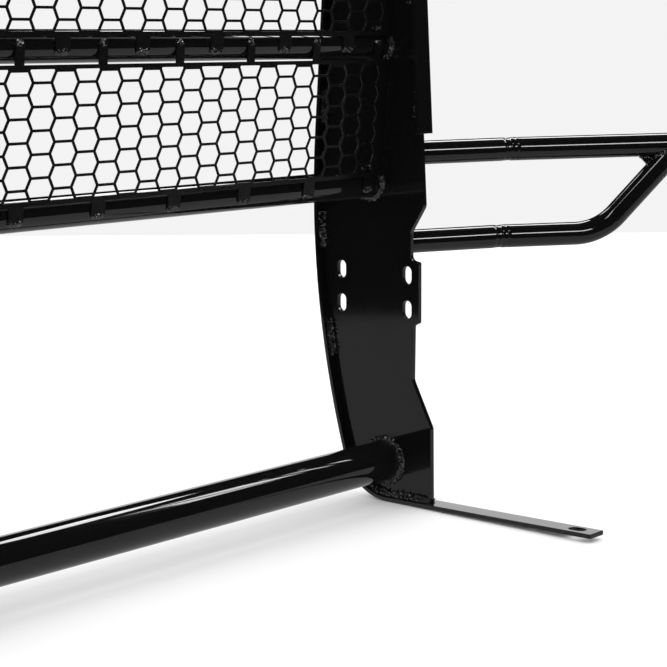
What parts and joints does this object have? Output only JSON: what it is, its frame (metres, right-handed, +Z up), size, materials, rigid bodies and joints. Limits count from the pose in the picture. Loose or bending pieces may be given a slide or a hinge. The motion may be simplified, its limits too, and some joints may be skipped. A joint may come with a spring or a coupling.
{
  "type": "front grille guard",
  "caption": "Front grille guard for a full-size pickup, welded from slotted side plates, bent flat-bar straps, cross tubes, punched mesh panels and swept headlight hoops, gloss black.",
  "frame": {"origin": "centre of the underside of the whole guard's box, on the level of the lowest point of the straps", "axes": "+X across the vehicle, from the left plate to the right plate as seen from the front; +Y from the front of the guard toward the vehicle; +Z up. The guard stands as it is fitted"},
  "size_m": [1.814, 0.5066, 0.9208],
  "materials": {
    "plate_coat": "gloss black powder coat on flat plate, with slight orange peel",
    "bar_coat": "gloss black powder coat on flat bar",
    "tube_coat": "gloss black powder coat on straight tube",
    "wing_coat": "gloss black powder coat on bent tube",
    "mesh_coat": "gloss black powder coat on punched sheet"
  },
  "bodies": {
    "root": {"left_side_plate": "plate_coat", "left_front_strip": "bar_coat", "left_rear_flange": "bar_coat", "right_side_plate": "plate_coat", "right_front_strip": "bar_coat", "right_rear_flange": "bar_coat", "bottom_tube": "tube_coat", "lower_cross_tube": "tube_coat", "middle_cross_tube": "tube_coat", "top_cross_tube": "tube_coat", "lower_mesh_panel": "mesh_coat", "upper_mesh_panel": "mesh_coat", "left_headlight_hoop": "wing_coat", "left_middle_bar": "wing_coat", "left_corner_web": "bar_coat", "right_headlight_hoop": "wing_coat", "right_middle_bar": "wing_coat", "right_corner_web": "bar_coat"}
  },
  "joints": []
}
